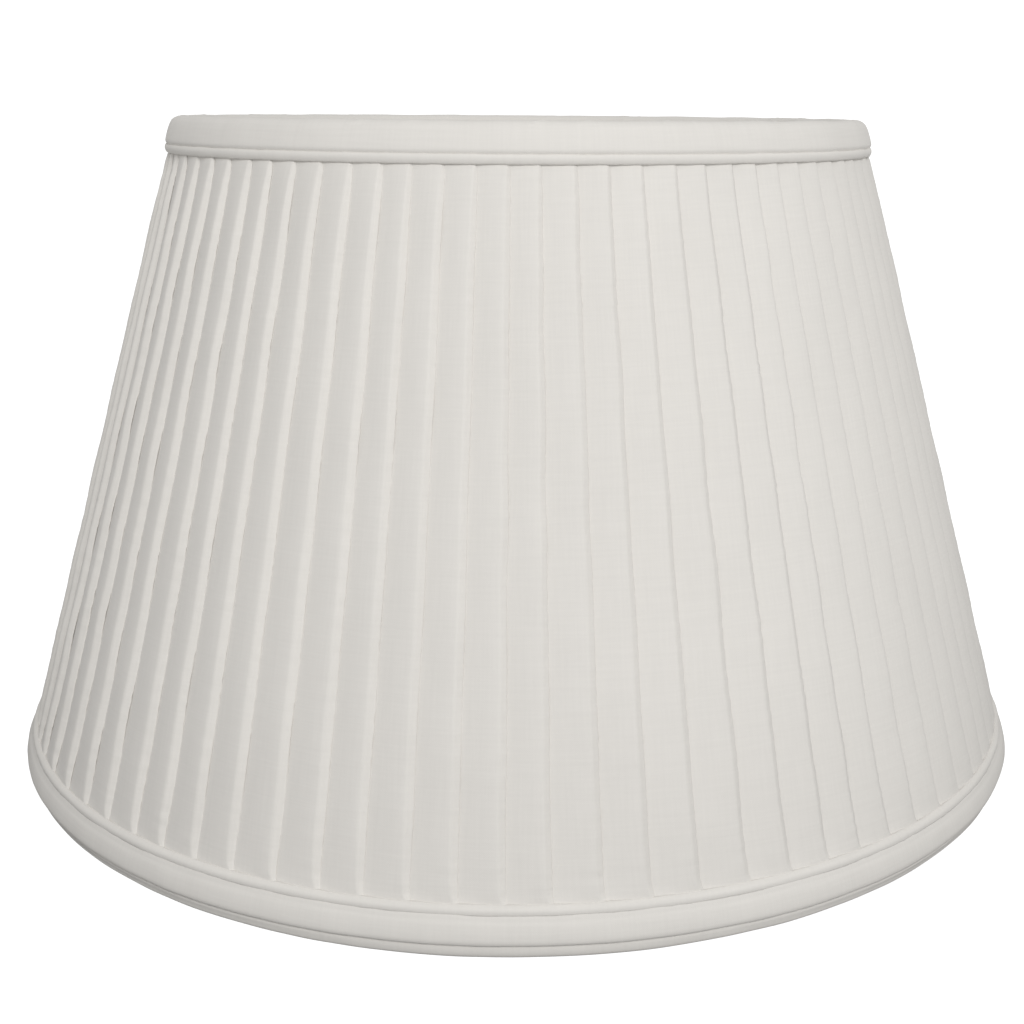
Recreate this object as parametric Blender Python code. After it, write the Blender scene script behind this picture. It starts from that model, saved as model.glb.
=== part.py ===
"""A pleated empire lamp shade on a wire frame: 80 knife pleats over a lined, ribbed frame, with self-fabric
bands and piping at both ends and a recessed three-armed spider fitter.

Metres, +Z up. The origin is on the shade's axis, on the plane that its bottom band stands on.
"""

import math

import bmesh
import bpy
from mathutils import Matrix, Vector

# Overall sizes: the height over the fabric, and the two rings over their wire, as a shade frame is sold.
HEIGHT = 0.280
TOP_RING_WIDTH = 0.294
BOTTOM_RING_WIDTH = 0.451

# The wire frame.
RING_WIRE = 0.0034
RIB_WIRE = 0.0024
RIB_COUNT = 8
RIB_SET_IN = 0.0010  # the ribs' centre line lies this far inside the rings' centre line

# The spider fitter: a thick washer on three arms, set down inside the top ring.
HUB_WIDTH = 0.0254
HUB_THICKNESS = 0.0032
HUB_HOLE = 0.0112  # clears the stud of a lamp harp
HUB_DROP = 0.0127
ARM_WIRE = 0.0036
ARM_COUNT = 3
ARM_BEND = 0.0070
FIRST_ARM_DEG = 90.0

# Cloth thicknesses.
TAPE = 0.0004
COVER = 0.0005
LINING = 0.0004
BAND = 0.0010
WRAP = 0.0004
CLEARANCE = 0.0003  # kept between any two pieces that lie against each other

# Pleats.
PLEAT_COUNT = 80
PLEAT_RISE = 0.0031  # from valley to crest, on the open wall
PRESSED_RISE = 0.0009  # the same, where the bands press the pleats flat
PLEAT_OPENING = 0.0150  # length of wall over which a pleat opens from pressed to full rise
STEP_SHARE = 0.10  # the share of a pleat's pitch that its steep side takes
FIRST_CREST_DEG = -90.0

# Bands and piping. Lengths run along the wall from a ring's centre.
TOP_LEG = 0.0088
BOTTOM_LEG = 0.0108
BOTTOM_CREASE = 0.0028  # where the flat of the bottom band turns in under the ring
TOP_INNER_LEG = 0.0090
BOTTOM_INNER_LEG = 0.0110
PIPING_WIDTH = 0.0037
PIPING_THICKNESS = 0.0011
EDGE_SET_BACK = 0.0008  # cover and lining stop this far short of a ring's centre
FLAT_DEG = 20.0  # half the angle of the flat that the bottom band's roll stands on
TOP_ROLL_DEG = (45, 90, 135)  # where the top band's roll is bent, in degrees from straight out
BOTTOM_ROLL_DEG = (-20, FLAT_DEG - 90, -90 - FLAT_DEG, -145)

# How finely round shapes are cut: every turned piece shares the pleats' facets, so that they nest.
AROUND = PLEAT_COUNT
RING_SIDES = 6
RIB_SIDES = 8
HUB_SIDES = 24
ARM_BEND_STEPS = 5
WRAP_SIDES = 8
WRAP_STEPS = 3
WRAP_SLIT_DEG = 40.0
WRAP_BEND_DEG = 54.0  # how much of an arm's bend its wrap covers

# Worked out from the sizes above: distances out from the line between the two rings' centres.
ring_radius = RING_WIRE / 2
arm_radius = ARM_WIRE / 2
tape_inner = ring_radius + CLEARANCE
tape_outer = tape_inner + TAPE
rib_side = RIB_WIRE / 2 - RIB_SET_IN
cover_over_rib = rib_side + CLEARANCE + COVER
cover_over_tape = tape_outer + CLEARANCE + COVER
crest = max(cover_over_rib + PLEAT_RISE, cover_over_tape + PRESSED_RISE)
open_valley = crest - PLEAT_RISE
pressed_valley = crest - PRESSED_RISE
band_inner = crest + CLEARANCE
band_outer = band_inner + BAND
lining_outer = max(tape_outer, RIB_SET_IN + RIB_WIRE / 2) + CLEARANCE
lining_inner = lining_outer + LINING
leg_inner = lining_inner + CLEARANCE
leg_outer = leg_inner + BAND
roll_inner = tape_outer + CLEARANCE
roll_outer = roll_inner + BAND

# The two rings' centres, in the plane that holds the axis.
cover_bottom = BOTTOM_CREASE + BAND + CLEARANCE  # the cover's lower edge, above the ring's centre
flat_drop = roll_outer * math.cos(math.radians(FLAT_DEG))
bottom_z = flat_drop
top_z = HEIGHT - roll_outer
top_r = TOP_RING_WIDTH / 2 - ring_radius
bottom_r = BOTTOM_RING_WIDTH / 2 - ring_radius
wall_length = math.hypot(bottom_r - top_r, top_z - bottom_z)
down = Vector((bottom_r - top_r, bottom_z - top_z)) / wall_length
out = Vector((-down.y, down.x))

# The fitter's heights.
hub_top = HEIGHT - HUB_DROP
hub_middle = hub_top - HUB_THICKNESS / 2
arm_r = top_r - ring_radius - CLEARANCE - arm_radius
arm_end_z = top_z - CLEARANCE
wrap_outer = arm_radius + CLEARANCE + WRAP


def wall(along, outward):
    """(r, z) of the point this far down the wall from the top ring's centre, and this far out from it."""
    point = Vector((top_r, top_z)) + down * along + out * outward
    return point.x, point.y


def wall_up(along, outward):
    """The same, measured up the wall from the bottom ring's centre."""
    return wall(wall_length - along, outward)


def arc(centre, radius, degrees):
    """(r, z) points on a circle, at these angles from straight out."""
    return [
        (centre[0] + radius * math.cos(math.radians(a)), centre[1] + radius * math.sin(math.radians(a)))
        for a in degrees
    ]


def steps(start, end, count):
    return [start + (end - start) * i / count for i in range(count + 1)]


def material(name, colour, roughness, metallic=0.0):
    made = bpy.data.materials.new(name)
    made.use_nodes = True
    shader = made.node_tree.nodes["Principled BSDF"]
    shader.inputs["Base Color"].default_value = (*colour, 1.0)
    shader.inputs["Roughness"].default_value = roughness
    shader.inputs["Metallic"].default_value = metallic
    made.diffuse_color = (*colour, 1.0)
    return made


def add(name, mesh, finish, parent, smooth_deg=35.0):
    mesh.materials.clear()
    mesh.materials.append(finish)
    if smooth_deg:
        mesh.shade_smooth()
        mesh.set_sharp_from_angle(angle=math.radians(smooth_deg))
    made = bpy.data.objects.new(name, mesh)
    made.parent = parent
    bpy.context.scene.collection.objects.link(made)
    return made


def mesh_from(name, bm):
    bmesh.ops.remove_doubles(bm, verts=bm.verts, dist=1e-6)
    bmesh.ops.recalc_face_normals(bm, faces=bm.faces)
    made = bpy.data.meshes.new(name)
    bm.to_mesh(made)
    bm.free()
    return made


def turned(name, section, around=AROUND):
    """A closed section of (r, z) points, spun once about the axis."""
    bm = bmesh.new()
    points = [bm.verts.new((r, 0, z)) for r, z in section]
    edges = [bm.edges.new((a, b)) for a, b in zip(points, points[1:] + points[:1])]
    bmesh.ops.spin(
        bm, geom=points + edges, cent=(0, 0, 0), axis=(0, 0, 1), angle=math.tau, steps=around, use_merge=True
    )
    return mesh_from(name, bm)


def skin_between(bm, rings, closed):
    """Quads between each ring of points and the next, and from the last back to the first if closed."""
    for a, b in zip(rings, rings[1:] + (rings[:1] if closed else [])):
        for i in range(len(a)):
            j = (i + 1) % len(a)
            bm.faces.new((a[i], a[j], b[j], b[i]))


def ring_mesh(name, centre):
    angles = steps(0, 360, RING_SIDES)[:-1]
    return turned(name, arc(centre, ring_radius, angles))


def tape_mesh(name, centre, opening_from, opening_to):
    """The tape bound round a ring. It is left open on the side where the ribs and arms are welded on."""
    covered = opening_from + 360 - opening_to
    angles = steps(opening_to, opening_from + 360, round(covered * RING_SIDES / 360))
    outside = arc(centre, tape_outer, angles)
    inside = arc(centre, tape_inner, angles)
    return turned(name, outside + inside[::-1])


def top_band_section():
    centre = (top_r, top_z)
    outside = [wall(TOP_LEG, band_outer), wall(COVER, band_outer), *arc(centre, roll_outer, TOP_ROLL_DEG)]
    outside += [wall(COVER, -leg_outer), wall(TOP_INNER_LEG, -leg_outer)]
    inside = [wall(TOP_LEG, band_inner), wall(COVER, band_inner), *arc(centre, roll_inner, TOP_ROLL_DEG)]
    inside += [wall(COVER, -leg_inner), wall(TOP_INNER_LEG, -leg_inner)]
    return outside + inside[::-1]


def bottom_band_section():
    centre = (bottom_r, bottom_z)
    outside = [wall_up(BOTTOM_LEG, band_outer), wall_up(BOTTOM_CREASE, band_outer)]
    outside += [*arc(centre, roll_outer, BOTTOM_ROLL_DEG), wall_up(COVER, -leg_outer)]
    outside += [wall_up(BOTTOM_INNER_LEG, -leg_outer)]
    inside = [wall_up(BOTTOM_LEG, band_inner), wall_up(BOTTOM_CREASE + BAND, band_inner)]
    inside += [*arc(centre, roll_inner, BOTTOM_ROLL_DEG), wall_up(COVER, -leg_inner)]
    inside += [wall_up(BOTTOM_INNER_LEG, -leg_inner)]
    return outside + inside[::-1]


def piping_section(place, leg):
    """A flat-backed roll of cloth that lies on the pleats just past the end of a band's outer leg."""
    start = leg + CLEARANCE
    end = start + PIPING_WIDTH
    shoulder = PIPING_WIDTH / 4
    low = band_inner
    high = band_inner + PIPING_THICKNESS
    half = (low + high) / 2
    outline = [(start, low), (start, half), (start + shoulder, high)]
    outline += [(end - shoulder, high), (end, half), (end, low)]
    return [place(along, outward) for along, outward in outline]


def crest_angle(pleat):
    return math.radians(FIRST_CREST_DEG) + pleat * math.tau / PLEAT_COUNT


def at_angle(angle, place):
    r, z = place
    return r * math.cos(angle), r * math.sin(angle), z


def pleated_ring(bm, along, valley):
    """One ring of the cover's outer face: each pleat climbs to its crest, then steps back down."""
    step = STEP_SHARE * math.tau / PLEAT_COUNT
    ring = []
    for pleat in range(PLEAT_COUNT):
        ring.append(bm.verts.new(at_angle(crest_angle(pleat), wall(along, crest))))
        ring.append(bm.verts.new(at_angle(crest_angle(pleat) + step, wall(along, valley))))
    return ring


def plain_ring(bm, along, outward):
    return [bm.verts.new(at_angle(crest_angle(pleat), wall(along, outward))) for pleat in range(PLEAT_COUNT)]


def cover_mesh():
    """The pleated cover, one closed skin: its outer face is pleated, and its inner face follows the valleys."""
    top_edge = TOP_LEG + CLEARANCE + PIPING_WIDTH
    bottom_edge = wall_length - (BOTTOM_LEG + CLEARANCE + PIPING_WIDTH)
    levels = [(EDGE_SET_BACK, pressed_valley), (top_edge, pressed_valley)]
    levels += [(top_edge + PLEAT_OPENING, open_valley), (bottom_edge - PLEAT_OPENING, open_valley)]
    levels += [(bottom_edge, pressed_valley), (wall_length - cover_bottom, pressed_valley)]
    bm = bmesh.new()
    outer = [pleated_ring(bm, along, valley) for along, valley in levels]
    inner = [plain_ring(bm, along, valley - COVER) for along, valley in levels]
    skin_between(bm, outer, closed=False)
    skin_between(bm, inner, closed=False)
    for outer_edge, inner_edge in ((outer[0], inner[0]), (outer[-1], inner[-1])):
        for pleat in range(PLEAT_COUNT):
            after = (pleat + 1) % PLEAT_COUNT
            crests = outer_edge[2 * pleat], outer_edge[2 * pleat + 1], outer_edge[2 * after]
            bm.faces.new((*crests, inner_edge[after], inner_edge[pleat]))
    return mesh_from("pleated_cover", bm)


def lining_mesh():
    ends = (EDGE_SET_BACK, wall_length - EDGE_SET_BACK)
    section = [wall(along, -lining_outer) for along in ends]
    section += [wall(along, -lining_inner) for along in ends[::-1]]
    return turned("lining", section)


def hub_mesh():
    low, high = hub_top - HUB_THICKNESS, hub_top
    inner, outer = HUB_HOLE / 2, HUB_WIDTH / 2
    section = [(inner, low), (outer, low), (outer, high), (inner, high)]
    return turned("fitter_hub", section, HUB_SIDES)


def arm_path():
    """(r, z) points from the hub's rim, level to the bend, then up beside the top ring."""
    corner = (arm_r - ARM_BEND, hub_middle + ARM_BEND)
    bend = arc(corner, ARM_BEND, steps(-90, 0, ARM_BEND_STEPS))
    return [(HUB_WIDTH / 2 + CLEARANCE, hub_middle), *bend, (arm_r, arm_end_z)]


def arm_object(name, angle, finish, parent):
    curve = bpy.data.curves.new(name, "CURVE")
    curve.dimensions = "3D"
    curve.bevel_depth = arm_radius
    curve.bevel_resolution = 2
    curve.use_fill_caps = True
    path = arm_path()
    line = curve.splines.new("POLY")
    line.points.add(len(path) - 1)
    for point, (r, z) in zip(line.points, path):
        point.co = (r, 0, z, 1)
    curve.materials.append(finish)
    made = bpy.data.objects.new(name, curve)
    made.parent = parent
    made.rotation_euler = (0, 0, angle)
    bpy.context.scene.collection.objects.link(made)
    return made


def arm_wrap_mesh():
    """A strip of lining wrapped round an arm where it passes the lining, slit along its hidden side."""
    corner = Vector((arm_r - ARM_BEND, hub_middle + ARM_BEND))
    turns = steps(-WRAP_BEND_DEG, 0, WRAP_STEPS)
    places = [(turn, Vector(point)) for turn, point in zip(turns, arc(corner, ARM_BEND, turns))]
    places.append((0, Vector((arm_r, arm_end_z - CLEARANCE))))
    half_slit = WRAP_SLIT_DEG / 2
    around = steps(half_slit, 360 - half_slit, WRAP_SIDES)
    bm = bmesh.new()
    rings = []
    for bend_angle, centre in places:
        away = Vector((math.cos(math.radians(bend_angle)), 0, math.sin(math.radians(bend_angle))))
        middle = Vector((centre.x, 0, centre.y))
        side = Vector((0, 1, 0))
        ring = []
        for radius, angles in ((wrap_outer, around), (arm_radius + CLEARANCE, around[::-1])):
            for a in map(math.radians, angles):
                ring.append(bm.verts.new(middle + radius * (math.cos(a) * away + math.sin(a) * side)))
        rings.append(ring)
    skin_between(bm, rings, closed=False)
    for ring in (rings[0], rings[-1]):
        count = len(ring)
        for i in range(count // 2 - 1):
            bm.faces.new((ring[i], ring[i + 1], ring[count - 2 - i], ring[count - 1 - i]))
    return mesh_from("arm_wrap", bm)


def rib_mesh(length):
    bm = bmesh.new()
    bmesh.ops.create_cone(
        bm, cap_ends=True, segments=RIB_SIDES, radius1=RIB_WIRE / 2, radius2=RIB_WIRE / 2, depth=length
    )
    return mesh_from("rib", bm)


def arm_slot(name, angle, parent):
    """A hidden cutter that opens the lining and the top band's inner leg for one arm and its wrap."""
    half_width = wrap_outer + CLEARANCE
    inside = arm_r - arm_radius - TOP_INNER_LEG
    outside = top_r + ring_radius / 4
    low = top_z - TOP_INNER_LEG - wrap_outer
    high = top_z + CLEARANCE
    bm = bmesh.new()
    size = Vector((outside - inside, 2 * half_width, high - low))
    middle = Vector(((outside + inside) / 2, 0, (high + low) / 2))
    bmesh.ops.create_cube(bm, size=1.0, matrix=Matrix.Translation(middle) @ Matrix.Diagonal((*size, 1.0)))
    made = bpy.data.objects.new(name, mesh_from(name, bm))
    made.parent = parent
    made.rotation_euler = (0, 0, angle)
    made.hide_render = True
    made.display_type = "WIRE"
    bpy.context.scene.collection.objects.link(made)
    return made


def cut(target, cutters):
    for cutter in cutters:
        modifier = target.modifiers.new(cutter.name, "BOOLEAN")
        modifier.operation = "DIFFERENCE"
        modifier.solver = "EXACT"
        modifier.object = cutter


def main():
    for old in list(bpy.data.objects):
        bpy.data.objects.remove(old)
    shade = bpy.data.objects.new("shade", None)
    bpy.context.scene.collection.objects.link(shade)

    coated_steel = material("coated_steel", (0.80, 0.80, 0.78), 0.45)
    brass = material("brass", (0.72, 0.55, 0.28), 0.30, 1.0)
    cover_cloth = material("cover_cloth", (0.78, 0.76, 0.71), 0.85)
    trim_cloth = material("trim_cloth", (0.80, 0.78, 0.74), 0.80)
    lining_cloth = material("lining_cloth", (0.82, 0.80, 0.75), 0.85)
    binding_tape = material("binding_tape", (0.85, 0.84, 0.80), 0.90)

    # The frame.
    add("top_ring", ring_mesh("top_ring", (top_r, top_z)), coated_steel, shade)
    add("bottom_ring", ring_mesh("bottom_ring", (bottom_r, bottom_z)), coated_steel, shade)
    rib_gap = ring_radius + CLEARANCE
    rib_line = rib_mesh(wall_length - 2 * rib_gap)
    middle_r, middle_z = wall(wall_length / 2, -RIB_SET_IN)
    tilt = -math.atan2(down.x, -down.y)
    for number in range(RIB_COUNT):
        angle = (number + 0.5) * math.tau / RIB_COUNT
        rib = add(f"rib_{number + 1}", rib_line, coated_steel, shade)
        rib.location = (middle_r * math.cos(angle), middle_r * math.sin(angle), middle_z)
        rib.rotation_euler = (0, tilt, angle)

    # The fitter.
    add("fitter_hub", hub_mesh(), brass, shade)
    wrap_line = arm_wrap_mesh()
    slots = []
    for number in range(ARM_COUNT):
        angle = math.radians(FIRST_ARM_DEG) + number * math.tau / ARM_COUNT
        arm_object(f"fitter_arm_{number + 1}", angle, brass, shade)
        wrap = add(f"arm_wrap_{number + 1}", wrap_line, lining_cloth, shade)
        wrap.rotation_euler = (0, 0, angle)
        slots.append(arm_slot(f"arm_slot_{number + 1}", angle, shade))

    # The cloth.
    add("top_ring_tape", tape_mesh("top_ring_tape", (top_r, top_z), 120, 300), binding_tape, shade)
    add("bottom_ring_tape", tape_mesh("bottom_ring_tape", (bottom_r, bottom_z), 60, 180), binding_tape, shade)
    lining = add("lining", lining_mesh(), lining_cloth, shade)
    add("pleated_cover", cover_mesh(), cover_cloth, shade, smooth_deg=None)
    top_band = add("top_band", turned("top_band", top_band_section()), trim_cloth, shade)
    add("bottom_band", turned("bottom_band", bottom_band_section()), trim_cloth, shade)
    add("top_piping", turned("top_piping", piping_section(wall, TOP_LEG)), trim_cloth, shade)
    add("bottom_piping", turned("bottom_piping", piping_section(wall_up, BOTTOM_LEG)), trim_cloth, shade)
    cut(lining, slots)
    cut(top_band, slots)


main()
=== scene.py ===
import math

import bpy
import numpy as np
from mathutils import Matrix, Vector


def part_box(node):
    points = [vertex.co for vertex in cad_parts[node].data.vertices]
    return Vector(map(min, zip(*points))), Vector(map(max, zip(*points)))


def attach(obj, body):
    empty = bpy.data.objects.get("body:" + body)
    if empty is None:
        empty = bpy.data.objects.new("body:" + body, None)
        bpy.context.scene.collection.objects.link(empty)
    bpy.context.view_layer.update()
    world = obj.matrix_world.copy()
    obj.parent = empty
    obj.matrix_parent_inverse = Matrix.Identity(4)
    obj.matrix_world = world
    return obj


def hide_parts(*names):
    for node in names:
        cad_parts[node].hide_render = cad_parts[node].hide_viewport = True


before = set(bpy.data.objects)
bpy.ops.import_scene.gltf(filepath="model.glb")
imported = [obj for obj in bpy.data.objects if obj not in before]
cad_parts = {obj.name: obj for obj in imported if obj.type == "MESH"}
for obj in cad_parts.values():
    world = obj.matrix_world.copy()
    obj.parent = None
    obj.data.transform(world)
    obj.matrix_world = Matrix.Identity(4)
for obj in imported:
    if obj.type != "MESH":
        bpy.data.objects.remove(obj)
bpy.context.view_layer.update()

# Camera. It looks level with the top rim and down on the bottom one, from about two thirds of a metre away.
# The shade stands a little to the left of the lens's own line, and the shift brings it back to the middle.
CAMERA_DISTANCE = 0.690
CAMERA_HEIGHT = 0.285
PITCH_DEG = -15.07
ROLL_DEG = -0.40
YAW_DEG = -1.43
bpy.ops.object.camera_add(
    location=(0, -CAMERA_DISTANCE, CAMERA_HEIGHT),
    rotation=(math.radians(90 + PITCH_DEG), math.radians(ROLL_DEG), math.radians(YAW_DEG)),
)
camera = bpy.context.object
camera.name = "camera"
camera.data.lens = 53.0
camera.data.shift_x = -0.0462
camera.data.sensor_width = 36
camera.data.clip_start = 0.05
bpy.context.scene.camera = camera


# Light. One big soft key, high in front and a little to the right, and white surroundings that fill the rest.
# The white cloth throws some of it back and forth between the pleats.
def softbox(name, place, width, height, watts):
    aim = Vector((0, 0, 0.14)) - Vector(place)
    bpy.ops.object.light_add(type="AREA", location=place, rotation=aim.to_track_quat("-Z", "Y").to_euler())
    lamp = bpy.context.object
    lamp.name = name
    lamp.data.shape = "RECTANGLE"
    lamp.data.size, lamp.data.size_y = width, height
    lamp.data.energy = watts


softbox("key_softbox", (0.46, -2.1, 1.4), 0.9, 0.9, 28.5)
surroundings = bpy.data.worlds.new("white_studio")
bpy.context.scene.world = surroundings
surroundings.use_nodes = True
surroundings.node_tree.nodes["Background"].inputs["Color"].default_value = (1, 1, 1, 1)
surroundings.node_tree.nodes["Background"].inputs["Strength"].default_value = 0.52
bpy.context.scene.view_settings.view_transform = "Standard"

# Floor and backdrop. A plain white floor that the shade stands on, inside a plain white dome that is
# bright to look at and adds no light of its own. A grey ring under the floor dims the light at
# the hem.
FLOOR_SIZE = 12
BACKDROP_RADIUS = 5.8
MAT_RADIUS = 0.34
MAT_Z = -0.0015
MAT_HOLE_SHARE = 0.55


def white_stage(piece, name):
    """Paint that is white to look at, on a piece that neither lights nor shades the shade."""
    paint = bpy.data.materials.new(name)
    paint.use_nodes = True
    shader = paint.node_tree.nodes["Principled BSDF"]
    shader.inputs["Base Color"].default_value = (0.3, 0.3, 0.3, 1)
    shader.inputs["Roughness"].default_value = 0.8
    shader.inputs["Specular IOR Level"].default_value = 0.1
    shader.inputs["Emission Color"].default_value = (1, 1, 1, 1)
    shader.inputs["Emission Strength"].default_value = 1.0
    piece.data.materials.append(paint)
    piece.visible_diffuse = False
    piece.visible_glossy = False
    piece.visible_shadow = False


bpy.ops.mesh.primitive_plane_add(size=FLOOR_SIZE, location=(0, 0, 0))
floor = bpy.context.object
floor.name = "studio_floor"
white_stage(floor, "white_floor")
bpy.ops.mesh.primitive_uv_sphere_add(segments=48, ring_count=24, radius=BACKDROP_RADIUS)
backdrop = bpy.context.object
backdrop.name = "studio_backdrop"
white_stage(backdrop, "white_backdrop")
bpy.ops.mesh.primitive_circle_add(vertices=96, radius=MAT_RADIUS, location=(0, 0, MAT_Z))
mat = bpy.context.object
mat.name = "studio_mat"
bpy.ops.object.mode_set(mode="EDIT")
bpy.ops.mesh.select_all(action="SELECT")
bpy.ops.mesh.extrude_edges_move()
bpy.ops.transform.resize(value=(MAT_HOLE_SHARE, MAT_HOLE_SHARE, 1), center_override=(0, 0, MAT_Z))
bpy.ops.object.mode_set(mode="OBJECT")
mat.visible_camera = False
mat_paint = bpy.data.materials.new("grey_mat")
mat_paint.use_nodes = True
mat_paint.node_tree.nodes["Principled BSDF"].inputs["Base Color"].default_value = (0.18, 0.18, 0.18, 1)
mat.data.materials.append(mat_paint)

# Wire frame. Two rings and eight ribs of white-coated steel wire, welded end to side, and the cloth hides all
# of it. A place on the shade's wall is given as metres down the line from the top ring to the bottom one,
# and metres out from it, square to the line.
RING_WIRE = 0.0034
top_low, top_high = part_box("top_ring")
bottom_low, bottom_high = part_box("bottom_ring")
top_r, top_z = top_high.x - RING_WIRE / 2, (top_low.z + top_high.z) / 2
bottom_r, bottom_z = bottom_high.x - RING_WIRE / 2, (bottom_low.z + bottom_high.z) / 2
wall_length = math.hypot(bottom_r - top_r, bottom_z - top_z)
down_r, down_z = (bottom_r - top_r) / wall_length, (bottom_z - top_z) / wall_length


def wall(along, outward):
    """(r, z) on or off the line between the rings."""
    return top_r + down_r * along - down_z * outward, top_z + down_z * along + down_r * outward


def metal_finish(name, colour, metallic, roughness, scratch):
    """Coated or plated wire: a faint mottle in its colour and gloss, and a very fine roughness."""
    made = bpy.data.materials.new(name)
    made.use_nodes = True
    nodes, links = made.node_tree.nodes, made.node_tree.links
    shader = nodes["Principled BSDF"]
    shader.inputs["Metallic"].default_value = metallic
    place = nodes.new("ShaderNodeTexCoord")
    tint = nodes.new("ShaderNodeTexNoise")
    tint.inputs["Scale"].default_value = 220
    tint.inputs["Detail"].default_value = 4
    links.new(place.outputs["Object"], tint.inputs["Vector"])
    ramp = nodes.new("ShaderNodeValToRGB")
    ramp.color_ramp.elements[0].position = 0.35
    ramp.color_ramp.elements[1].position = 0.65
    ramp.color_ramp.elements[0].color = (*[0.86 * c for c in colour], 1)
    ramp.color_ramp.elements[1].color = (*colour, 1)
    links.new(tint.outputs[0], ramp.inputs[0])
    links.new(ramp.outputs[0], shader.inputs["Base Color"])
    rough = nodes.new("ShaderNodeMapRange")
    rough.inputs["To Min"].default_value = roughness
    rough.inputs["To Max"].default_value = roughness + 0.15
    links.new(tint.outputs[0], rough.inputs["Value"])
    links.new(rough.outputs[0], shader.inputs["Roughness"])
    bump = nodes.new("ShaderNodeBump")
    bump.inputs["Strength"].default_value = scratch
    bump.inputs["Distance"].default_value = 0.00005
    links.new(tint.outputs[0], bump.inputs["Height"])
    links.new(bump.outputs[0], shader.inputs["Normal"])
    return made


WELD_SWELL = 1.25  # how much wider the wire is at a weld
WELD_LENGTH = 0.0012
RIBS = 8
RIB_WIRE = 0.0024
RIB_SET_IN = 0.0010  # the ribs' centre line, inside the rings' own
coated_steel = metal_finish("coated_steel", (0.80, 0.80, 0.78), 0.0, 0.35, 0.2)
for name, ring_r, ring_z in (("top_ring", top_r, top_z), ("bottom_ring", bottom_r, bottom_z)):
    bpy.ops.object.select_all(action="DESELECT")
    bpy.ops.mesh.primitive_torus_add(
        location=(0, 0, ring_z), major_radius=ring_r, minor_radius=RING_WIRE / 2,
        major_segments=240, minor_segments=20,
    )
    ring = bpy.context.object
    ring.name = name + "_wire"
    bpy.ops.object.transform_apply(location=True, rotation=True, scale=True)
    bpy.ops.object.mode_set(mode="EDIT")
    bpy.ops.mesh.select_mode(type="VERT")
    bpy.ops.mesh.select_all(action="DESELECT")
    bpy.ops.object.mode_set(mode="OBJECT")
    for corner in ring.data.vertices:
        corner.select = corner.co.x > 0 and abs(corner.co.y) < 0.001
    bpy.ops.object.mode_set(mode="EDIT")
    bpy.ops.transform.resize(value=(WELD_SWELL,) * 3, center_override=(ring_r, 0, ring_z))
    bpy.ops.object.mode_set(mode="OBJECT")
    bpy.ops.object.shade_smooth()
    ring.data.materials.append(coated_steel)
    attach(ring, "root")
    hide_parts(name)
rib_length = wall_length - RING_WIRE - 2 * WELD_LENGTH
middle_r, middle_z = wall(wall_length / 2, -RIB_SET_IN)
rib_tilt = -math.atan2(down_r, -down_z)
for rib in range(RIBS):
    turn = (rib + 0.5) * math.tau / RIBS
    bpy.ops.object.select_all(action="DESELECT")
    bpy.ops.mesh.primitive_cylinder_add(
        vertices=20, radius=RIB_WIRE / 2, depth=rib_length,
        location=(middle_r * math.cos(turn), middle_r * math.sin(turn), middle_z),
        rotation=(0, rib_tilt, turn),
    )
    wire = bpy.context.object
    wire.name = f"rib_{rib + 1}_wire"
    bpy.ops.object.transform_apply(location=True, rotation=True, scale=True)
    for end in (0, 1):
        bpy.ops.object.mode_set(mode="EDIT")
        bpy.ops.mesh.select_mode(type="FACE")
        bpy.ops.mesh.select_all(action="DESELECT")
        bpy.ops.object.mode_set(mode="OBJECT")
        end_faces = [face for face in wire.data.polygons if len(face.vertices) > 4]
        end_face = sorted(end_faces, key=lambda face: face.center.z)[end]
        end_face.select = True
        middle, outwards = end_face.center.copy(), end_face.normal * WELD_LENGTH
        bpy.ops.object.mode_set(mode="EDIT")
        bpy.ops.mesh.extrude_region_move(TRANSFORM_OT_translate={"value": outwards})
        bpy.ops.transform.resize(value=(WELD_SWELL,) * 3, center_override=middle + outwards)
        bpy.ops.object.mode_set(mode="OBJECT")
    bpy.ops.object.shade_smooth_by_angle(angle=math.radians(40))
    wire.data.materials.append(coated_steel)
    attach(wire, "root")
    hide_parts(f"rib_{rib + 1}")

# Spider fitter. A thick brass-plated washer on three round arms that run out level, bend up, and are brazed
# beside the top ring. It hangs a little below the rim, and drops over a lamp harp's stud.
ARMS_DEG = (90, 210, 330)
hub_low, hub_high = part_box("fitter_hub")
hub_r, hub_middle = hub_high.x, (hub_low.z + hub_high.z) / 2
HUB_HOLE = 0.0056
ARM_WIRE = 0.0036
ARM_BEND = 0.0070
ARM_IN_HUB = 0.0010
GAP = 0.0003
brass = metal_finish("brass", (0.80, 0.62, 0.32), 1.0, 0.24, 0.04)
bpy.ops.object.select_all(action="DESELECT")
bpy.ops.mesh.primitive_circle_add(vertices=96, radius=HUB_HOLE, location=(0, 0, hub_low.z))
hub = bpy.context.object
hub.name = "fitter_washer"
bpy.ops.object.transform_apply(location=True, rotation=True, scale=True)
bpy.ops.object.mode_set(mode="EDIT")
bpy.ops.mesh.select_all(action="SELECT")
bpy.ops.mesh.extrude_edges_move()
bpy.ops.transform.resize(value=(hub_r / HUB_HOLE, hub_r / HUB_HOLE, 1), center_override=(0, 0, hub_low.z))
bpy.ops.mesh.select_all(action="SELECT")
bpy.ops.mesh.extrude_region_move(TRANSFORM_OT_translate={"value": (0, 0, hub_high.z - hub_low.z)})
bpy.ops.mesh.select_all(action="SELECT")
bpy.ops.mesh.normals_make_consistent(inside=False)
bpy.ops.object.mode_set(mode="OBJECT")
soften = hub.modifiers.new("soften", "BEVEL")
soften.width = 0.0004
soften.segments = 3
soften.limit_method = "ANGLE"
bpy.ops.object.modifier_apply(modifier=soften.name)
bpy.ops.object.shade_smooth_by_angle(angle=math.radians(40))
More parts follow.
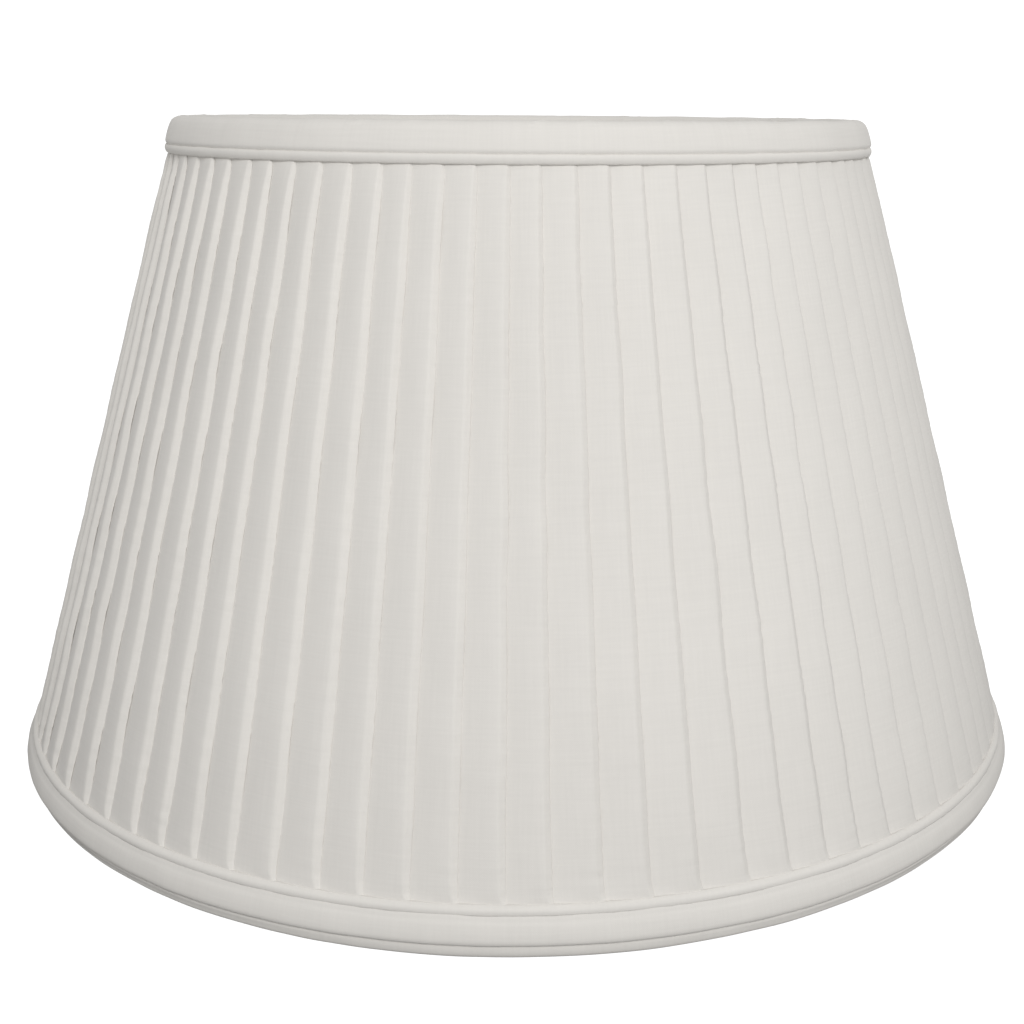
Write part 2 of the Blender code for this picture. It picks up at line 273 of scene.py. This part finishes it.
hub.data.materials.append(brass)
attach(hub, "root")
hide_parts("fitter_hub")

arm_r = top_r - RING_WIRE / 2 - GAP - ARM_WIRE / 2
bend_from = arm_r - ARM_BEND
for number, turn_deg in enumerate(ARMS_DEG, start=1):
    turn = math.radians(turn_deg)
    bpy.ops.object.select_all(action="DESELECT")
    bpy.ops.mesh.primitive_circle_add(
        vertices=20, radius=ARM_WIRE / 2, fill_type="NGON", location=(hub_r - ARM_IN_HUB, 0, hub_middle),
        rotation=(0, math.pi / 2, 0),
    )
    arm = bpy.context.object
    arm.name = f"fitter_arm_{number}_rod"
    bpy.ops.object.transform_apply(location=True, rotation=True, scale=True)
    bpy.ops.object.mode_set(mode="EDIT")
    bpy.ops.mesh.select_all(action="SELECT")
    bpy.ops.mesh.extrude_region_move(TRANSFORM_OT_translate={"value": (bend_from - hub_r + ARM_IN_HUB, 0, 0)})
    bpy.ops.mesh.spin(
        steps=12, angle=math.pi / 2, center=(bend_from, 0, hub_middle + ARM_BEND), axis=(0, 1, 0)
    )
    bpy.ops.mesh.extrude_region_move(
        TRANSFORM_OT_translate={"value": (0, 0, top_z - GAP - hub_middle - ARM_BEND)})
    bpy.ops.mesh.select_all(action="SELECT")
    bpy.ops.mesh.remove_doubles(threshold=1e-6)
    bpy.ops.mesh.normals_make_consistent(inside=False)
    bpy.ops.object.mode_set(mode="OBJECT")
    arm.data.transform(Matrix.Rotation(turn, 4, "Z"))
    bpy.ops.object.shade_smooth_by_angle(angle=math.radians(40))
    arm.data.materials.append(brass)
    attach(arm, "root")
    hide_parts(f"fitter_arm_{number}")

# Ring tapes. Narrow cotton tape wound round each ring, each turn over half the last one, so that the lining
# and the bands have something to be stitched to.
TAPE_OUT = 0.0020
TAPE_LAP = 0.00030  # how far one edge of the tape rides over the turn before
TURN_STEP = 0.0062


def cloth_finish(name, colour, thread, slub_share, sheen):
    """A fine plain weave with slubs, on the piece's own map in metres, so that threads follow every fold."""
    made = bpy.data.materials.new(name)
    made.use_nodes = True
    nodes, links = made.node_tree.nodes, made.node_tree.links
    shader = nodes["Principled BSDF"]
    shader.inputs["Sheen Weight"].default_value = sheen
    shader.inputs["Sheen Roughness"].default_value = 0.6
    shader.inputs["Specular IOR Level"].default_value = 0.25

    def node(kind, **settings):
        new = nodes.new(kind)
        for key, value in settings.items():
            setattr(new, key, value)
        return new

    def math_node(operation, first, second):
        new = node("ShaderNodeMath", operation=operation)
        for socket, value in zip(new.inputs, (first, second)):
            if isinstance(value, (int, float)):
                socket.default_value = value
            else:
                links.new(value, socket)
        return new.outputs[0]

    cloth_map = node("ShaderNodeUVMap", uv_map="cloth")
    across = node("ShaderNodeSeparateXYZ")
    links.new(cloth_map.outputs[0], across.inputs[0])
    turn = math.tau / (2 * thread)
    weft = math_node("SINE", math_node("MULTIPLY", across.outputs["X"], turn), 0)
    warp = math_node("SINE", math_node("MULTIPLY", across.outputs["Y"], turn), 0)
    weave = math_node("MULTIPLY", weft, warp)

    streaks = []
    for stretch in ((900, 40, 1), (40, 900, 1)):
        placed = node("ShaderNodeMapping")
        placed.inputs["Scale"].default_value = stretch
        links.new(cloth_map.outputs[0], placed.inputs["Vector"])
        noise = node("ShaderNodeTexNoise")
        noise.inputs["Scale"].default_value = 1
        noise.inputs["Detail"].default_value = 3
        links.new(placed.outputs[0], noise.inputs["Vector"])
        streaks.append(noise.outputs[0])
    slubs = math_node("ADD", streaks[0], streaks[1])
    broad = node("ShaderNodeTexNoise")
    broad.inputs["Scale"].default_value = 14
    broad.inputs["Detail"].default_value = 2
    links.new(cloth_map.outputs[0], broad.inputs["Vector"])

    tone = math_node("MULTIPLY", slubs, slub_share)
    tone = math_node("ADD", tone, math_node("MULTIPLY", broad.outputs[0], slub_share))
    ramp = node("ShaderNodeValToRGB")
    ramp.color_ramp.elements[0].position = 0.3 * slub_share
    ramp.color_ramp.elements[1].position = 2.7 * slub_share
    ramp.color_ramp.elements[0].color = (*[0.94 * c for c in colour], 1)
    ramp.color_ramp.elements[1].color = (*[min(1, 1.04 * c) for c in colour], 1)
    links.new(tone, ramp.inputs[0])
    links.new(ramp.outputs[0], shader.inputs["Base Color"])
    rough = node("ShaderNodeMapRange")
    rough.inputs["To Min"].default_value = 0.72
    rough.inputs["To Max"].default_value = 0.92
    links.new(slubs, rough.inputs["Value"])
    links.new(rough.outputs[0], shader.inputs["Roughness"])

    height = math_node("ADD", math_node("MULTIPLY", weave, 0.35), slubs)
    bump = node("ShaderNodeBump")
    bump.inputs["Strength"].default_value = 0.35
    bump.inputs["Distance"].default_value = 0.00008
    links.new(height, bump.inputs["Height"])
    links.new(bump.outputs[0], shader.inputs["Normal"])
    return made


def cloth_grid(name, places, map_points, closed):
    """A sheet of cloth from a grid of places, columns round the shade and rows up it."""
    rows, columns = places.shape[:2]
    bpy.ops.object.select_all(action="DESELECT")
    bpy.ops.mesh.primitive_grid_add(x_subdivisions=columns - 1, y_subdivisions=rows - 1, calc_uvs=True)
    sheet = bpy.context.object
    sheet.name = sheet.data.name = name
    mesh = sheet.data
    mesh.uv_layers[0].name = "cloth"
    corners = np.empty(len(mesh.loops), int)
    mesh.loops.foreach_get("vertex_index", corners)
    mesh.uv_layers[0].data.foreach_set("uv", map_points.reshape(-1, 2)[corners].ravel())
    mesh.vertices.foreach_set("co", places.reshape(-1, 3).ravel())
    mesh.update()
    if closed:
        bpy.ops.object.mode_set(mode="EDIT")
        bpy.ops.mesh.select_all(action="SELECT")
        bpy.ops.mesh.remove_doubles(threshold=1e-6)
        bpy.ops.object.mode_set(mode="OBJECT")
    bpy.ops.object.shade_smooth()
    return sheet


binding_tape = cloth_finish("binding_tape", (0.80, 0.78, 0.73), 0.00040, 0.4, 0.05)
for name, ring_r, ring_z in (("top_ring", top_r, top_z), ("bottom_ring", bottom_r, bottom_z)):
    turns = round(math.tau * ring_r / TURN_STEP)
    ring_angle = np.linspace(0, math.tau, turns * 8 + 1)[:, None]
    round_wire = np.linspace(math.pi + 0.04, 3 * math.pi - 0.04, 17)[None, :]
    winding = (ring_angle * turns + round_wire) / math.tau % 1
    off = TAPE_OUT + TAPE_LAP * winding
    tape_r, tape_z = ring_r + off * np.cos(round_wire), ring_z + off * np.sin(round_wire)
    places = np.stack([tape_r * np.cos(ring_angle), tape_r * np.sin(ring_angle), tape_z], axis=-1)[::-1]
    tape_map = np.stack(np.broadcast_arrays(round_wire * TAPE_OUT, ring_angle * ring_r), axis=-1)[::-1]
    tape = cloth_grid(f"{name}_winding", places, tape_map, closed=True)
    tape.data.materials.append(binding_tape)
    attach(tape, "root")
    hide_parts(f"{name}_tape")

# Lining. Smooth cloth in two halves, pulled tight inside the ribs from ring to ring, with a seam down each
# side. It draws in slightly at the waist, and the eight ribs show through as faint ridges.
AROUND = 480  # columns of cloth round the shade
LINING_OFF = -0.0029
WAIST_DRAW = 0.0016
RIB_RIDGE = 0.0004
SEAM_RIDGE = 0.0005
SEAMS_DEG = (8, 188)
HALFWAY_R = 0.19


def smooth_path(points, count):
    """count places at even steps along a rounded line through these points."""
    points = np.array(points, float)
    padded = np.vstack([2 * points[0] - points[1], points, 2 * points[-1] - points[-2]])
    fine_line = []
    for a, b, c, d in zip(padded, padded[1:], padded[2:], padded[3:]):
        for t in np.linspace(0, 1, 24, endpoint=False):
            fine_line.append(0.5 * (2 * b + (c - a) * t + (2 * a - 5 * b + 4 * c - d) * t**2
                                    + (3 * b - a - 3 * c + d) * t**3))
    fine_line = np.array([*fine_line, points[-1]])
    walked = np.concatenate([[0], np.cumsum(np.linalg.norm(np.diff(fine_line, axis=0), axis=1))])
    even = np.linspace(0, walked[-1], count)
    return np.stack([np.interp(even, walked, fine_line[:, i]) for i in (0, 1)], axis=-1), walked[-1]


def turned_cloth(name, points, rows, push, finish, stands_for, extra_angles=()):
    """A strip of cloth laid round the wall: its section is a rounded line through (along, outward) points.

    push(angle, along, outward) gives how far the cloth stands off that line, for its puckers and creases."""
    section, width = smooth_path(points, rows)
    angles = np.radians(np.linspace(0, 360, AROUND + 1))
    angles = np.unique(np.concatenate([angles, extra_angles]))
    step = np.gradient(section, axis=0)
    step /= np.linalg.norm(step, axis=1)[:, None]
    along = section[:, 0, None] + np.zeros(len(angles))
    outward = section[:, 1, None] + np.zeros(len(angles))
    stand = push(angles[None, :], along, outward)
    along, outward = along - step[:, 1, None] * stand, outward + step[:, 0, None] * stand
    r, z = wall(along, outward)
    grid = np.stack([r * np.cos(angles), r * np.sin(angles), z], axis=-1)
    girth = math.tau * float(np.mean(r))
    across = np.stack(np.broadcast_arrays(
        angles[None, :] / math.tau * girth, -np.linspace(0, width, rows)[:, None]), axis=-1)
    strip = cloth_grid(name, grid[::-1], across[::-1], closed=True)
    strip.data.materials.append(finish)
    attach(strip, "root")
    for node in stands_for:
        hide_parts(node)
    return strip


def angle_ripple(chance, angle, per_turn, waves=6):
    """A smooth wave that closes on itself round the shade, of about unit height."""
    total = np.zeros_like(angle)
    for _ in range(waves):
        count = max(1, round(per_turn * chance.uniform(0.6, 1.6)))
        total += np.sin(angle * count + chance.uniform(0, math.tau))
    return total / math.sqrt(waves / 2)


lining_cloth = cloth_finish("lining_cloth", (0.77, 0.75, 0.71), 0.00028, 0.35, 0.05)


def lining_push(angle, along, outward):
    """The drawn-in waist, the ribs' and seams' ridges, and fine gathers near both rings."""
    share = along / wall_length
    waist = WAIST_DRAW * np.sin(math.pi * share) ** 0.8
    ribs = np.zeros_like(angle * along)
    for rib in range(RIBS):
        offset = (angle - (rib + 0.5) * math.tau / RIBS + math.pi) % math.tau - math.pi
        ribs = ribs + RIB_RIDGE * np.exp(-((offset * HALFWAY_R / 0.0028) ** 2))
    seams = np.zeros_like(ribs)
    for seam in map(math.radians, SEAMS_DEG):
        offset = (angle - seam + math.pi) % math.tau - math.pi
        seams = seams + SEAM_RIDGE * np.exp(-((offset * HALFWAY_R / 0.0011) ** 2))
    gathers = np.exp(-along / 0.012) + np.exp(-(wall_length - along) / 0.010)
    gathers = gathers * 0.00012 * angle_ripple(np.random.RandomState(11), angle, 110)
    return -(waist + ribs * np.sin(math.pi * share) + seams + gathers)


LINING_SECTION = [(wall_length * share, LINING_OFF) for share in (0.008, 0.25, 0.5, 0.75, 0.99)]
lining = turned_cloth("lining_halves", LINING_SECTION, 90, lining_push, lining_cloth,
                      ["lining"])
bpy.ops.object.select_all(action="DESELECT")
lining.select_set(True)
bpy.context.view_layer.objects.active = lining
bpy.ops.object.mode_set(mode="EDIT")
bpy.ops.mesh.select_all(action="SELECT")
bpy.ops.mesh.flip_normals()
bpy.ops.object.mode_set(mode="OBJECT")

# Arm wraps. A scrap of the lining cloth is wound round each arm's bend, where the lining and the top band
# are slit for it, and hides the cut edges.
WRAP_OUT = 0.0023
WRAP_CREASE = 0.00012
WRAP_END = 0.0005  # how quickly the ends close in on the arm
WRAP_FROM = math.radians(-64)
wrap_top = top_z + 0.0008
bend_angles = np.linspace(WRAP_FROM, 0, 16)
wrap_r = bend_from + ARM_BEND * np.cos(bend_angles)
wrap_z = hub_middle + ARM_BEND + ARM_BEND * np.sin(bend_angles)
lean = bend_angles
straight = np.linspace(wrap_z[-1], wrap_top, 8)[1:]
wrap_r = np.concatenate([wrap_r, np.full(len(straight), wrap_r[-1])])
wrap_z = np.concatenate([wrap_z, straight])
lean = np.concatenate([lean, np.zeros(len(straight))])
wrap_walk = np.concatenate([[0], np.cumsum(np.hypot(np.diff(wrap_r), np.diff(wrap_z)))])
for number, turn_deg in enumerate(ARMS_DEG, start=1):
    turn = math.radians(turn_deg)
    around = np.linspace(0, math.tau, 25)[None, :]
    creases = WRAP_CREASE * np.sin(3 * around + 900 * wrap_walk[:, None] + number)
    from_end = wrap_walk[:, None]
    to_end = wrap_walk[-1] - from_end
    closing = 1 - 0.2 * np.exp(-from_end / WRAP_END) - 0.8 * np.exp(-to_end / WRAP_END)
    size = (WRAP_OUT + creases) * closing
    near = wrap_r[:, None] + size * np.cos(around) * np.cos(lean)[:, None]
    height = wrap_z[:, None] + size * np.cos(around) * np.sin(lean)[:, None]
    beside = size * np.sin(around)
    x = near * math.cos(turn) - beside * math.sin(turn)
    y = near * math.sin(turn) + beside * math.cos(turn)
    places = np.stack([x, y, height], axis=-1)
    wrap_map = np.stack(np.broadcast_arrays(around * WRAP_OUT, wrap_walk[:, None]), axis=-1)
    wrap = cloth_grid(f"arm_wrap_{number}_scrap", places, wrap_map, closed=True)
    wrap.data.materials.append(lining_cloth)
    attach(wrap, "root")
    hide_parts(f"arm_wrap_{number}")

# Pleated cover. Four lengths of cloth, knife-pleated all one way and pulled tight from ring to ring. Each
# pleat's folded edge stands up from the next one, and the lengths join out of sight under a pleat.
PLEATS = 80
LENGTHS = 4
CLOTH_PER_PLEAT = 0.0262
CREST = 0.0041  # the folded edges' height over the line between the rings
STACK = 0.0022  # from a folded edge down to the next pleat's face
EDGE_ROLL = 0.0023  # radius of a folded edge
SIDE_SLOPE = math.radians(40)  # how steeply a pleat's side falls to the next one
FOOT_ROLL = 0.0003  # radius where its side turns in under the pleat
UNDER_GAP = 0.0001
HIDDEN_ROLL = 0.0002  # radius of the fold that is out of sight
FACE_START_SLOPE, FACE_END_SLOPE = 1.3, 0.25  # of the face's mean slope
COVER_START, COVER_END = 0.0030, wall_length - 0.0050
TOP_TRIM, BOTTOM_TRIM = 0.0126, wall_length - 0.0150
FIRST_PLEAT_DEG = -91.35
TOP_PINCH, BOTTOM_PINCH = 0.011, 0.009  # how far the trims' hold on the pleats is felt
TOP_NIP, BOTTOM_NIP = 0.0011, 0.0012  # and where they are pressed almost flat
KNUCKLE, BOW = 0.0062, 0.060  # lengths of a folded edge's small and long waves
LOOSE_EDGE = 0.75  # share of a pleat's face that moves with its folded edge


def ripple(chance, places, period, waves=5):
    """A smooth random wave of about unit height: sines near one period, each with its own phase."""
    total = np.zeros_like(places)
    for _ in range(waves):
        length = period * chance.uniform(0.65, 1.5)
        total += np.sin(places * math.tau / length + chance.uniform(0, math.tau))
    return total / math.sqrt(waves / 2)


def pleat_section(pitch, tuck, opened):
    """One pleat's path across the cloth as (along the wall's circle, below its highest line), row by row."""
    ones = np.ones_like(pitch)
    fall = STACK - UNDER_GAP - FOOT_ROLL
    arc_s, arc_d = EDGE_ROLL * math.sin(SIDE_SLOPE), EDGE_ROLL * (1 - math.cos(SIDE_SLOPE))
    side_s = (fall - arc_d) / math.tan(SIDE_SLOPE)
    scale = np.clip(pitch / 0.0145, 0.8, 1.15) * (0.35 + 0.65 * opened)
    roll = (arc_s + side_s) * scale
    path = [(-pitch - tuck, -STACK * ones), (-pitch - 0.5 * tuck, -STACK * ones)]
    for t in (0.0, 0.12, 0.26, 0.42, 0.58, 0.74, 0.88):
        bends = (t**3 - 2 * t**2 + t) * FACE_START_SLOPE + (t**3 - t**2) * FACE_END_SLOPE
        rise = 3 * t**2 - 2 * t**3 + bends
        path.append((-pitch + t * (pitch - roll), -STACK * (1 - rise) * ones))
    for a in np.linspace(0, SIDE_SLOPE, 5):
        path.append((-roll + EDGE_ROLL * math.sin(a) * scale, EDGE_ROLL * (math.cos(a) - 1) * ones))
    for t in (0.35, 0.7, 1.0):
        path.append((-roll + (arc_s + t * side_s) * scale, -(arc_d + t * (fall - arc_d)) * ones))
    turn = math.pi / 2 - SIDE_SLOPE
    for a in np.linspace(turn, -math.pi / 2, 4)[1:]:
        path.append((FOOT_ROLL * (math.cos(a) - math.cos(turn)) * ones,
                     (FOOT_ROLL * (math.sin(a) - math.sin(turn)) - fall) * ones))
    under = -fall - FOOT_ROLL * (1 + math.sin(turn))
    path.append((-0.5 * tuck, under * ones))
    for a in map(math.radians, (90, 150, 210)):
        drop = under - HIDDEN_ROLL + HIDDEN_ROLL * math.sin(a)
        path.append((-tuck + HIDDEN_ROLL * math.cos(a), drop * ones))
    s, d = zip(*path)
    return np.array(s), np.array(d)


cover_cloth = cloth_finish("cover_cloth", (0.745, 0.722, 0.684), 0.00032, 0.5, 0.1)
chance = np.random.RandomState(7)
fine = np.arange(0, 0.012, 0.0006)
rows_along = np.concatenate([
    np.linspace(COVER_START, TOP_TRIM, 4, endpoint=False),
    TOP_TRIM + fine,
    np.linspace(TOP_TRIM + fine[-1] + 0.0012, BOTTOM_TRIM - fine[-1] - 0.0012, 118),
    BOTTOM_TRIM - fine[::-1],
    np.linspace(BOTTOM_TRIM, COVER_END, 5)[1:],
])
from_top = np.clip(rows_along - TOP_TRIM, 0, None)
from_bottom = np.clip(BOTTOM_TRIM - rows_along, 0, None)
opened = 1 - 0.52 * np.exp(-from_top / TOP_PINCH) - 0.24 * np.exp(-from_top / TOP_NIP)
opened *= 1 - 0.40 * np.exp(-from_bottom / BOTTOM_PINCH) - 0.25 * np.exp(-from_bottom / BOTTOM_NIP)
crest_level = CREST - 0.0009 * (1 - opened)
crest_r = wall(rows_along, crest_level)[0]
spacing = 1 + chance.uniform(-0.09, 0.09, PLEATS)
spacing *= PLEATS / spacing.sum()
pleat_angles = math.radians(FIRST_PLEAT_DEG) + math.tau / PLEATS * np.cumsum(spacing)

sections, wanders, lifts = [], [], []
for pleat in range(PLEATS):
    pitch = crest_r * math.tau / PLEATS * spacing[pleat]
    tuck = np.minimum((CLOTH_PER_PLEAT - crest_r * math.tau / PLEATS - STACK) / 2, 0.6 * pitch)
    sections.append((pitch, *pleat_section(pitch, tuck, opened)))
    wander = 0.00008 * ripple(chance, rows_along, KNUCKLE) + 0.00012 * ripple(chance, rows_along, BOW, 3)
    lift = 0.00006 * ripple(chance, rows_along, KNUCKLE) + 0.00014 * ripple(chance, rows_along, 0.75 * BOW, 3)
    flare = 0.0008 * np.exp(-from_bottom / 0.0022) - 0.0004 * np.exp(-from_top / 0.0010)
    wanders.append(wander * opened + flare)
    lifts.append(lift * opened)

panel_pleats = PLEATS // LENGTHS
for panel in range(LENGTHS):
    grid, across = [], [0.0]
    for pleat in range(panel * panel_pleats, (panel + 1) * panel_pleats):
        pitch, s, d = sections[pleat]
        for column_s, column_d in zip(s, d):
            near_edge = np.clip(1 + column_s / (LOOSE_EDGE * pitch), 0, 1) ** 1.5
            angle = pleat_angles[pleat] + (column_s + wanders[pleat] * near_edge) / crest_r
            r, z = wall(rows_along, crest_level + column_d * opened + lifts[pleat] * near_edge)
            grid.append(np.stack([r * np.cos(angle), r * np.sin(angle), z], axis=-1))
            if len(grid) > 1:
                across.append(across[-1] + float(np.median(np.linalg.norm(grid[-1] - grid[-2], axis=-1))))
    grid = np.array(grid).transpose(1, 0, 2)[::-1]
    cloth_map = np.stack(np.broadcast_arrays(np.array(across)[None, :], -rows_along[::-1, None]), axis=-1)
    length = cloth_grid(f"pleated_cover_{panel + 1}", grid, cloth_map, closed=False)
    length.data.materials.append(cover_cloth)
    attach(length, "root")
    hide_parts("pleated_cover")

# Top band. A bias strip of the cover's cloth with both edges turned in, rolled over the top ring and the
# ends of the pleats. Inside the shade it is notched where the three fitter arms come up to the ring.
NOTCH_HALF = 0.0025  # half a notch's width
NOTCH_TOP = 0.0003  # its upper end, under the ring's centre
TUCKS = 26
trim_cloth = cloth_finish("trim_cloth", (0.745, 0.722, 0.684), 0.00032, 0.5, 0.1)
tuck_places = chance.uniform(0, math.tau, TUCKS)
tuck_widths = chance.uniform(0.004, 0.011, TUCKS)
tuck_depths = chance.uniform(0.00008, 0.00032, TUCKS)


def top_band_push(angle, along, outward):
    """Faint unevenness all over, and short tucks over the ring where the bias cloth is crowded."""
    over_ring = np.exp(-((along + 0.0022) / 0.0030) ** 2) * (outward < 0.0052)
    stand = 0.00004 * angle_ripple(np.random.RandomState(3), angle, 60) * np.cos(along / 0.004)
    stand = stand + 0.00007 * angle_ripple(np.random.RandomState(4), angle, 17)
    for place, width, depth in zip(tuck_places, tuck_widths, tuck_depths):
        offset = (angle - place + math.pi) % math.tau - math.pi
        slant = offset + 12 * (along + 0.002)
        stand = stand - depth * over_ring * np.exp(-((slant / width) ** 2))
    return stand


TOP_BAND_SECTION = (
    (0.0074, 0.0043), (0.0095, 0.0041), (0.0099, 0.0042), (0.0095, 0.0045), (0.0088, 0.0052),
    (0.0080, 0.0057), (0.0055, 0.0058), (0.0020, 0.0056), (-0.0006, 0.0050), (-0.0025, 0.0035),
    (-0.0036, 0.0013), (-0.0036, -0.0011), (-0.0026, -0.0031), (-0.0006, -0.0042), (0.0025, -0.0044),
    (0.0086, -0.0044), (0.0090, -0.0041), (0.0086, -0.0038), (0.0060, -0.0037),
)
notch_edges = [math.radians(deg) + side * NOTCH_HALF / top_r for deg in ARMS_DEG for side in (-1, 1)]
top_band = turned_cloth("top_band_strip", TOP_BAND_SECTION, 72, top_band_push, trim_cloth,
                        ["top_band"], extra_angles=notch_edges)
in_notch = []
for face in top_band.data.polygons:
    middle = Vector(face.center)
    turn = math.degrees(math.atan2(middle.y, middle.x))
    near = min(abs((turn - deg + 180) % 360 - 180) for deg in ARMS_DEG)
    inside = math.hypot(middle.x, middle.y) < top_r - 0.0015 and middle.z < top_z - NOTCH_TOP
    in_notch.append(inside and math.radians(near) * top_r < NOTCH_HALF)
bpy.ops.object.mode_set(mode="EDIT")
bpy.ops.mesh.select_mode(type="FACE")
bpy.ops.mesh.select_all(action="DESELECT")
bpy.ops.object.mode_set(mode="OBJECT")
top_band.data.polygons.foreach_set("select", in_notch)
bpy.ops.object.mode_set(mode="EDIT")
bpy.ops.mesh.delete(type="FACE")
bpy.ops.object.mode_set(mode="OBJECT")

# Top piping. A narrow bias strip folded round on itself and laid on the pleats right under the band, where
# it covers the line of stitches and pins the pleats down.
TOP_PIPING_SECTION = (
    (0.0118, 0.0034), (0.0102, 0.0035), (0.0096, 0.0042), (0.0091, 0.0045), (0.0093, 0.0050),
    (0.0100, 0.0053), (0.0110, 0.0052), (0.0119, 0.0047), (0.0126, 0.0039), (0.0123, 0.0033),
    (0.0102, 0.0038),
)


def piping_push(angle, along, outward):
    """A little uneven along its length, as cloth folded by hand is."""
    slow = 0.00005 * angle_ripple(np.random.RandomState(5), angle, 45)
    return slow + 0.00003 * angle_ripple(np.random.RandomState(6), angle, 140)


turned_cloth("top_piping_strip", TOP_PIPING_SECTION, 22, piping_push, trim_cloth,
             ["top_piping"])

# Bottom band. The same bias strip round the bottom ring, deeper, with a pressed crease low on its face where
# it turns in under the ring. The shade stands on it.
def up(points):
    """Points measured up the wall from the bottom ring, as points down it from the top ring."""
    return tuple((wall_length - height, outward) for height, outward in points)


BOTTOM_BAND_SECTION = (
    (0.0095, 0.0039), (0.0114, 0.0040), (0.0119, 0.0042), (0.0114, 0.0045), (0.0106, 0.0047),
    (0.0095, 0.0049), (0.0080, 0.0053), (0.0060, 0.0055), (0.0040, 0.0055), (0.0023, 0.0053),
    (0.0012, 0.0048), (0.0008, 0.0042), (0.0012, 0.0036), (0.0009, 0.0033), (0.0000, 0.0034),
    (-0.0014, 0.0032), (-0.0028, 0.0026), (-0.0035, 0.0018), (-0.0036, 0.0009), (-0.0034, -0.0002),
    (-0.0029, -0.0016), (-0.0024, -0.0028), (-0.0010, -0.0040), (0.0020, -0.0044), (0.0106, -0.0044),
    (0.0110, -0.0041), (0.0106, -0.0038), (0.0080, -0.0037),
)


def bottom_band_push(angle, along, outward):
    """Faint unevenness all over. Under the crease the cloth is slack in front and tighter further round."""
    stand = 0.00006 * angle_ripple(np.random.RandomState(8), angle, 21)
    stand = stand + 0.00004 * angle_ripple(np.random.RandomState(9), angle, 75) * np.sin(along / 0.0035)
    from_front = (angle + math.pi / 2 + math.pi) % math.tau - math.pi
    tight = 1 - np.exp(-((from_front / 0.70) ** 2))
    low_down = np.clip((along - wall_length - 0.0002) / 0.0014, 0, 1)
    outside = np.clip((outward + 0.0026) / 0.0010, 0, 1)
    return stand - 0.0011 * tight * low_down * outside


turned_cloth("bottom_band_strip", up(BOTTOM_BAND_SECTION), 110, bottom_band_push, trim_cloth,
             ["bottom_band"])

# Bottom piping. The same narrow strip as at the top, laid right above the bottom band.
BOTTOM_PIPING_SECTION = (
    (0.0141, 0.0033), (0.0125, 0.0035), (0.0117, 0.0041), (0.0110, 0.0043), (0.0114, 0.0046),
    (0.0122, 0.0049), (0.0132, 0.0049), (0.0141, 0.0044), (0.0149, 0.0036), (0.0150, 0.0029),
    (0.0145, 0.0028), (0.0128, 0.0036),
)
turned_cloth("bottom_piping_strip", up(BOTTOM_PIPING_SECTION), 22, piping_push, trim_cloth,
             ["bottom_piping"])
